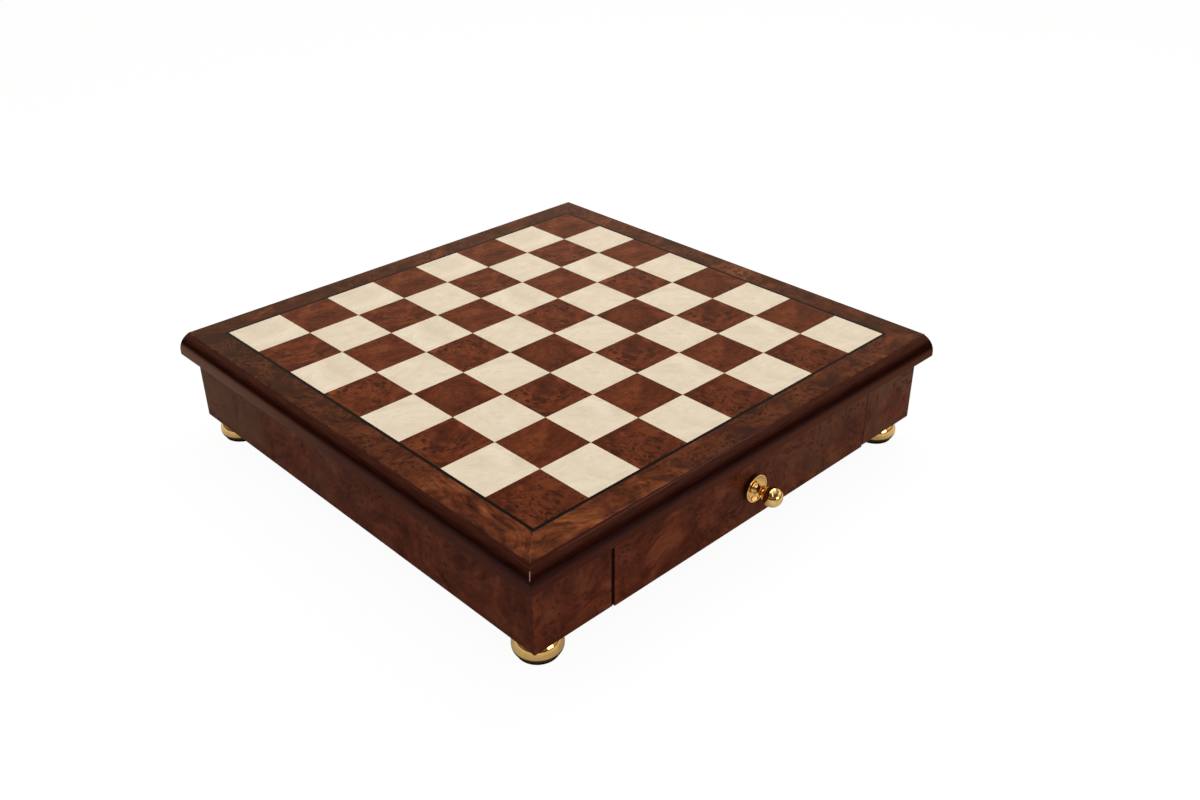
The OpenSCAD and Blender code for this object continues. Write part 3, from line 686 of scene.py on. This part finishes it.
# Polishing leaves soft streaks and thumb marks some 6 mm wide, seen only as a change of gloss
marks = add_node(tree, "TexNoise", {"Vector": point, "Scale": 0.16, "Detail": 3.0})["Fac"]
gloss = add_node(tree, "MapRange", {"Value": marks, "To Min": 0.05, "To Max": 0.16})[0]
colour = add_node(tree, "ValToRGB", {"Fac": marks},
                  stops=[(0.3, "#dcb068"), (0.7, "#ebc684")])["Color"]
end_finish(tree, {"Base Color": colour, "Metallic": 1.0, "Roughness": gloss})

rubber, tree, point = begin_finish("moulded_rubber")
grit = add_node(tree, "TexNoise", {"Vector": point, "Scale": 2.0, "Detail": 3.0})["Fac"]
colour = add_node(tree, "ValToRGB", {"Fac": grit},
                  stops=[(0.3, "#0a0909"), (0.7, "#141312")])["Color"]
skin = add_node(tree, "Bump", {"Height": grit, "Strength": 0.3, "Distance": 0.0002})["Normal"]
end_finish(tree, {"Base Color": colour, "Roughness": 0.8, "Specular IOR Level": 0.1,
                  "Normal": skin})

steel, tree, point = begin_finish("zinc_plated_steel")
bloom = add_node(tree, "TexNoise", {"Vector": point, "Scale": 1.5, "Detail": 3.0})["Fac"]
gloss = add_node(tree, "MapRange", {"Value": bloom, "To Min": 0.22, "To Max": 0.42})[0]
colour = add_node(tree, "ValToRGB", {"Fac": bloom},
                  stops=[(0.3, "#b4b5b4"), (0.7, "#cdcdc9")])["Color"]
end_finish(tree, {"Base Color": colour, "Metallic": 1.0, "Roughness": gloss})
coat_with(steel, "foot_screws")

foot_profile = np.concatenate([
    [[FOOT_BORE_R, FOOT_H]],
    belly_arc(FOOT_TOP_R, FOOT_H, 24)[::-1],
    belly_arc(FOOT_BASE_R, PAD_T, 14)[1:],
    [[FOOT_SINK_R, PAD_T], [FOOT_SINK_R, FOOT_SINK_Z], [FOOT_BORE_R, FOOT_SINK_Z]],
])
# The pad is moulded with three shallow grooves in its sole and a rounded lower edge. A groove is
# its depth times e to the minus (distance from the groove's middle / half its width) squared
sole = np.column_stack([np.linspace(HUB_R, SOLE_R, 120), np.zeros(120)])
for groove_r in GROOVES:
    sole[:, 1] += GROOVE_DEPTH * np.exp(-((sole[:, 0] - groove_r) / GROOVE_HALF) ** 2)
pad_profile = np.concatenate([
    sole,
    arc((PAD_R - PAD_EASE, PAD_EASE), PAD_EASE, -80, 0, 5),
    [[PAD_R, PAD_T], [HUB_R, PAD_T]],
])
for corner, (x, y) in CORNERS.items():
    middle = (x * FOOT_AT, y * FOOT_AT, 0)
    bun = shell("foot_" + corner + "_bun", [(turned(foot_profile, middle), None)])
    take(bun, brass, "box", "brass", "foot_" + corner)
    low, high = np.array(middle), np.array(middle) + (0, 0, PAD_T)
    disc = shell("pad_" + corner + "_disc", [(turned(pad_profile, middle), (low, high))])
    take(disc, rubber, "box", "pad", "pad_" + corner)

# ---- Drawer boxes ----
# Two drawers back to back, each a front of veneered MDF with beech sides and back, lacquered, and a
# plywood bottom let into grooves.

beech = {"tones": ("#b07f4c", "#c6955e", "#d6ab75"), "ring_mm": 5.0, "rough": 0.5, "coat": 0.25}
beech_long = plain_wood("lacquered_beech_long", along=1, **beech)
beech_cross = plain_wood("lacquered_beech_cross", along=0, **beech)
drawer_ply = plywood("birch_plywood_drawer", low=26.5, plies=3, ply_t=1.0)
for drawer, veneer in (("drawer_1", front_burl), ("drawer_2", back_burl)):
    coat_with(veneer, drawer + "_front")
    coat_with(beech_long, drawer + "_side_left", drawer + "_side_right")
    coat_with(beech_cross, drawer + "_back")
    coat_with(drawer_ply, drawer + "_bottom")

# ---- Felt linings ----
# A sheet of dark green wool felt, 1 mm thick, laid on each drawer's bottom. It is cut 0.5 mm short
# all round, and lies in very shallow waves because it is glued only here and there.

LINING_W = 244.6
LINING_L = 174.3
LINING_Z = 29.5
LINING_T = 1.0
LINING_BACK = 14.0
LINING_WAVE = 0.15

felt, tree, point = begin_finish("wool_felt")
# Felt is a mat of 0.03 mm hairs with no weave; they are drawn as tufts of 1.2 mm so that they show
tufts = add_node(tree, "TexNoise", {"Vector": point, "Scale": 0.8, "Detail": 6.0,
                                    "Roughness": 0.7, "Distortion": 1.5})["Fac"]
cloud = add_node(tree, "TexNoise", {"Vector": point, "Scale": 0.04, "Detail": 2.0})["Fac"]
mixed = add_node(tree, "Math", {0: cloud, 1: 0.35, 2: tufts}, "MULTIPLY_ADD")[0]
colour = add_node(tree, "ValToRGB", {"Fac": mixed},
                  stops=[(0.4, "#0f2a1c"), (0.68, "#1c4a33"), (0.95, "#2c6347")])["Color"]
nap = add_node(tree, "Bump", {"Height": tufts, "Strength": 0.6, "Distance": 0.0005})["Normal"]
end_finish(tree, {"Base Color": colour, "Roughness": 0.95, "Specular IOR Level": 0.1, "Normal": nap,
                  "Sheen Weight": 0.4, "Sheen Roughness": 0.5})


def felt_sheet(name, hand):
    """The sheet's middle surface: a flat grid let down by up to LINING_WAVE, as the product of two
    slow sines, which fades to nothing at its edges. Solidify gives it its thickness."""
    wide, deep = 61, 45
    u, v = np.meshgrid(np.linspace(0, 1, wide), np.linspace(0, 1, deep), indexing="ij")
    fade = np.clip(8 * np.minimum(np.minimum(u, 1 - u), np.minimum(v, 1 - v)), 0, 1)
    sines = np.sin(5 * np.pi * u + 1.3 * v) * np.sin(4 * np.pi * v + 0.7)
    wave = -LINING_WAVE * fade * (0.5 + 0.5 * sines)
    x = DRAWER_X + (u - 0.5) * LINING_W
    y = -hand * (LINING_BACK + v * LINING_L)
    points = np.stack([x, y, LINING_Z + LINING_T / 2 + wave], -1).reshape(-1, 3)
    i, j = np.meshgrid(np.arange(wide - 1), np.arange(deep - 1), indexing="ij")
    a = i * deep + j
    quads = np.stack([a, a + 1, a + deep + 1, a + deep], -1).reshape(-1, 4)
    mesh = bpy.data.meshes.new(name)
    mesh.from_pydata(points * MM, [], (quads if hand > 0 else quads[:, ::-1]).tolist())
    mesh.shade_smooth()
    sheet = bpy.data.objects.new(name, mesh)
    bpy.context.scene.collection.objects.link(sheet)
    thick = sheet.modifiers.new("thickness", "SOLIDIFY")
    thick.thickness = LINING_T * MM
    thick.offset = 0.0
    return sheet


for hand, drawer in ((1, "drawer_1"), (-1, "drawer_2")):
    sheet = take(felt_sheet(drawer + "_felt", hand), felt, drawer, "felt", drawer + "_lining")

# ---- Knobs ----
# Each drawer has one turned brass knob: a ball on a waisted neck, standing in a dished rosette with
# a thin beaded rim, both pulled against the front by a machine screw from inside.

FACE_Y = -200.8
FRONT_T = 12.0
KNOB_Z = 45.0
BALL_R = 7.5
BALL_OUT = 17.5
NECK_R = 2.6
NECK_FLARE = 1.3  # how much wider the neck is at its collar than at its waist
BALL_FLARE = 0.7  # and at the ball
NECK_IN = 3.9
COLLAR_R = 4.6
COLLAR_EDGE = 1.0
ROSETTE_T = 1.8
ROSETTE_R = 10.6
BEAD_R = 0.7
RIM_R = ROSETTE_R - BEAD_R
RIM_OUT = 3.7
SEAT_R = 6.5
DISH_R = 6.2
DISH_END_R = RIM_R - 0.6
DISH_END_OUT = RIM_OUT + 0.2
ROSETTE_BORE_R = 1.8
KNOB_BORE_R = 1.55
KNOB_BORE_END = ROSETTE_T + 8.0
SCREW_R = 1.5
SCREW_HEAD_R = 3.6
SCREW_HEAD_H = 2.0
SCREW_TIP = ROSETTE_T + 7.0
TIP_BEVEL = 0.5
DOME_H = 0.9
RECESS_DEPTH = 0.9
RECESS_HALF = 0.75  # where the recess reaches the face again beside an arm, and RECESS_R along it
RECESS_R = 2.2
RECESS_FLANK = 0.3

# Rosette section from its bore: a flat middle, a dish that rises as the 1.5th power of the way out,
# the rim's bead, and a straight flank back to the seat
rise = np.linspace(0, 1, 18)
rosette_profile = np.concatenate([
    [[ROSETTE_BORE_R, 0.0], [ROSETTE_BORE_R, ROSETTE_T]],
    np.column_stack([DISH_R + (DISH_END_R - DISH_R) * rise,
                     ROSETTE_T + (DISH_END_OUT - ROSETTE_T) * rise ** 1.5]),
    arc((RIM_R, RIM_OUT), BEAD_R, 150, -45, 26),
    [[SEAT_R, 0.0]],
])
# Knob section from the bottom of its bore: collar with a half-round edge, waisted neck, ball. The
# neck flares as the cube of the way back to the collar and the fifth power of the way to the ball
waist = np.linspace(0, 1, 22)
neck_end_r = NECK_R + BALL_FLARE
neck_end = BALL_OUT - math.sqrt(BALL_R ** 2 - neck_end_r ** 2)
neck = np.column_stack([
    NECK_R + NECK_FLARE * (1 - waist) ** 3 + BALL_FLARE * waist ** 5,
    NECK_IN + (neck_end - NECK_IN) * waist,
])
ball_start = -math.degrees(math.acos(neck_end_r / BALL_R))
knob_profile = np.concatenate([
    [[KNOB_BORE_R, KNOB_BORE_END], [KNOB_BORE_R, ROSETTE_T]],
    arc((COLLAR_R - COLLAR_EDGE, ROSETTE_T + COLLAR_EDGE), COLLAR_EDGE, -90, 90, 14),
    neck,
    arc((0, BALL_OUT), BALL_R, ball_start, 89, 44)[1:],
])


def screw_grid(middle, out):
    """A machine screw: a low domed head with a cross recess, and a plain shank. The dome falls away
    as the fourth power of the radius. The recess is full where the lesser of the two distances
    from the cross's arms is under RECESS_HALF less its flank, and fades out over the flank."""
    reach = np.linspace(0.05, SCREW_HEAD_R, 40)
    dome = np.column_stack([reach, -FRONT_T - SCREW_HEAD_H + DOME_H * (reach / SCREW_HEAD_R) ** 4])
    shank = [[SCREW_HEAD_R, -FRONT_T], [SCREW_R, -FRONT_T], [SCREW_R, SCREW_TIP - TIP_BEVEL],
             [SCREW_R - TIP_BEVEL, SCREW_TIP]]
    profile = np.concatenate([dome, shank])
    grid = turned(profile, middle, out)
    angle = np.arange(AROUND) * 2 * np.pi / AROUND
    x, y = reach[:, None] * np.cos(angle), reach[:, None] * np.sin(angle)
    off_arm = np.minimum(np.abs(x), np.abs(y))
    beside = np.clip((RECESS_HALF - off_arm) / RECESS_FLANK, 0, 1)
    along_arm = np.clip((RECESS_R - reach) / RECESS_FLANK, 0, 1)[:, None]
    cut = RECESS_DEPTH * beside * along_arm
    grid[:len(reach)] += cut[:, :, None] * np.array(out, float)
    return grid, (grid[0].mean(0), grid[-1].mean(0))


for hand, drawer in ((1, "drawer_1"), (-1, "drawer_2")):
    middle, out = (DRAWER_X, hand * FACE_Y, KNOB_Z), (0, -hand, 0)
    axis = np.array(out, float)
    tips = (middle + axis * KNOB_BORE_END, middle + axis * (BALL_OUT + BALL_R))
    rose = shell(drawer + "_rose", [(turned(rosette_profile, middle, out), None)])
    take(rose, brass, drawer, "brass", drawer + "_rosette")
    knob = shell(drawer + "_ball_knob", [(turned(knob_profile, middle, out), tips)])
    take(knob, brass, drawer, "brass", drawer + "_knob")
    screw = shell(drawer + "_machine_screw", [screw_grid(middle, out)], sharp=30)
    take(screw, steel, drawer, "steel", drawer + "_knob_screw")

# ---- Studio ----
# A pale floor that is white where it is seen, and a white room, brightest at the back right and
# overhead and darkest at the front left, with six soft lamps. For brass and lacquer the floor is
# painted: a painted pool of light close to the box, with a faint painted glow, that darkens further
# out, and a painted shadow round each foot. The camera looks down at the near corner.

FLOOR_HALF = 6.0
LIT_REACH = 340.0  # how far from the middle of the box the painted pool of light that the gloss shows starts to darken
DARK_REACH = 700.0
FOOT_SHADOW_R, FOOT_SHADOW_EDGE_R = 18.0, 22.5  # of the painted shadow round each foot: where it is full, and its end
PAPER = linear("#cfcfcd")

ground = bpy.data.meshes.new("floor")
corners = np.array([[-1, -1, 0], [1, -1, 0], [1, 1, 0], [-1, 1, 0]]) * FLOOR_HALF
ground.from_pydata(corners, [], [[0, 1, 2, 3]])
floor = bpy.data.objects.new("floor", ground)
bpy.context.scene.collection.objects.link(floor)
paper, tree, point = begin_finish("floor_paper")
rays = add_node(tree, "LightPath", {})
seen = add_node(tree, "Math", {0: rays["Is Camera Ray"], 1: rays["Is Transmission Ray"]},
                "MAXIMUM")[0]
lit = add_node(tree, "BsdfDiffuse", {"Color": PAPER})["BSDF"]
white = add_node(tree, "Emission", {"Color": (1, 1, 1, 1), "Strength": 0.95})["Emission"]
faint = add_node(tree, "BsdfDiffuse", {"Color": linear("#464646")})["BSDF"]
white = add_node(tree, "AddShader", {0: white, 1: faint})[0]
mixed = add_node(tree, "MixShader", {0: seen, 1: lit, 2: white})[0]
# Painted light: for glossy rays the floor is a painted pool of light round the box that darkens
# with distance
reach = add_node(tree, "VectorMath", {0: point}, "LENGTH")["Value"]
painted_light_fall = add_node(tree, "MapRange", {"Value": reach, "From Min": LIT_REACH, "From Max": DARK_REACH,
                                   "To Min": 1.0, "To Max": 0.1}, **EASED)[0]
# Gloss also shows a painted shadow round each foot
quarter = add_node(tree, "VectorMath", {0: point}, "ABSOLUTE")[0]
from_foot = add_node(tree, "VectorMath", {0: quarter, 1: (FOOT_AT, FOOT_AT, 0)},
                     "DISTANCE")["Value"]
painted_foot_shadow = add_node(tree, "MapRange", {"Value": from_foot, "From Min": FOOT_SHADOW_R,
                                   "From Max": FOOT_SHADOW_EDGE_R, "To Min": 0.06}, **EASED)[0]
painted_light_fall = add_node(tree, "Math", {0: painted_light_fall, 1: painted_foot_shadow}, "MULTIPLY")[0]
dimmed = add_node(tree, "VectorMath", {0: PAPER[:3], "Scale": painted_light_fall}, "SCALE")[0]
mirrored = add_node(tree, "BsdfDiffuse", {"Color": dimmed})["BSDF"]
# Painted glow: the floor that the gloss shows also glows faintly, though it is no lamp
painted_glow = add_node(tree, "Emission", {"Color": dimmed, "Strength": 0.35})["Emission"]
mirrored = add_node(tree, "AddShader", {0: mirrored, 1: painted_glow})[0]
mixed = add_node(tree, "MixShader", {0: rays["Is Glossy Ray"], 1: mixed, 2: mirrored})[0]
add_node(tree, "OutputMaterial", {"Surface": mixed})
ground.materials.append(paper)
floor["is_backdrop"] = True

BACK_RIGHT = (0.82, 0.57, 0.0)
world = bpy.data.worlds.new("room")
bpy.context.scene.world = world
world.use_nodes = True
tree = world.node_tree
tree.nodes.clear()
rays = add_node(tree, "LightPath", {})
seen = add_node(tree, "Math", {0: rays["Is Camera Ray"], 1: rays["Is Transmission Ray"]},
                "MAXIMUM")[0]
way = add_node(tree, "TexCoord", {})["Generated"]
part = add_node(tree, "SeparateXYZ", {0: way})
toward = add_node(tree, "VectorMath", {0: way, 1: BACK_RIGHT}, "DOT_PRODUCT")["Value"]
wall = add_node(tree, "MapRange", {"Value": toward, "From Min": -0.9, "From Max": 0.95,
                                   "To Min": 0.25, "To Max": 1.7}, **EASED)[0]
storey = add_node(tree, "ValToRGB", {"Fac": part["Z"]},
                  stops=[(0.36, "#ffe0c4"), (0.46, "#b8a898"), (0.56, "#727272"), (0.80, "#9a9a9a"),
                         (0.93, "#ffffff")])["Color"]
# Gloss shows the foot of the walls dark, as a line round each brass piece
foot = add_node(tree, "MapRange", {"Value": part["Z"], "From Min": 0.02, "From Max": 0.20,
                                   "To Min": 0.8, "To Max": 0.0}, **EASED)[0]
foot = add_node(tree, "Math", {0: foot, 1: rays["Is Glossy Ray"]}, "MULTIPLY")[0]
foot = add_node(tree, "Math", {0: 1.0, 1: foot}, "SUBTRACT")[0]
wall = add_node(tree, "Math", {0: wall, 1: foot}, "MULTIPLY")[0]
wall = add_node(tree, "VectorMath", {0: storey, "Scale": wall}, "SCALE")[0]
room = add_node(tree, "Background", {"Color": wall, "Strength": 1.0})[0]
white = add_node(tree, "Background", {"Color": (1, 1, 1, 1), "Strength": 1.0})[0]
mixed = add_node(tree, "MixShader", {0: seen, 1: room, 2: white})[0]
add_node(tree, "OutputWorld", {"Surface": mixed})


def axes_looking(back, roll=0.0):
    """Rotation whose Z axis is back, with X level and then turned about Z by roll degrees."""
    back = np.array(back, float) / np.linalg.norm(back)
    side = np.cross([0, 0, 1], back)
    side /= np.linalg.norm(side)
    up = np.cross(back, side)
    c, s = math.cos(math.radians(roll)), math.sin(math.radians(roll))
    return np.column_stack([c * side + s * up, c * up - s * side, back])


def placed(name, data, at, turn):
    """Links an object at a place with a rotation matrix."""
    made = bpy.data.objects.new(name, data)
    made.matrix_world = Matrix.LocRotScale(Vector(at), Matrix(turn.tolist()), None)
    bpy.context.scene.collection.objects.link(made)
    return made


# name, place in metres, width and height in metres, watts
for name, at, wide, high, watts in (
    ("softbox_right", (0.90, 0.20, 1.55), 0.9, 0.9, 9.0),
    ("softbox_over", (-0.25, 0.35, 1.70), 1.1, 1.1, 5.0),
    ("strip_camera", (-0.56, -0.67, 0.97), 0.20, 0.80, 1.2),
    ("softbox_front", (0.15, -1.70, 0.30), 0.7, 0.4, 5.0),
    ("strip_front_right", (0.90, -1.04, 0.71), 0.80, 0.06, 0.5),
    ("softbox_left", (-0.95, 0.10, 0.30), 0.30, 0.25, 1.0),
):
    lamp = bpy.data.lights.new(name, "AREA")
    lamp.shape = "RECTANGLE"
    lamp.size, lamp.size_y, lamp.energy = wide, high, watts
    box_light = placed(name, lamp, at, axes_looking(at))
    box_light.visible_camera = False

lens = bpy.data.cameras.new("camera")
lens.sensor_width = 36.0
lens.lens = 35.26
lens.clip_start, lens.clip_end = 0.01, 100.0
azimuth, elevation = math.radians(-43.9794), math.radians(30.1512)
back = (math.sin(azimuth) * math.cos(elevation), -math.cos(azimuth) * math.cos(elevation),
        math.sin(elevation))
camera = placed("camera", lens, (-0.5423, -0.6127, 0.5065), axes_looking(back, roll=-0.3537))
bpy.context.scene.camera = camera
bpy.context.scene.view_settings.view_transform = "Standard"

low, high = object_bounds()
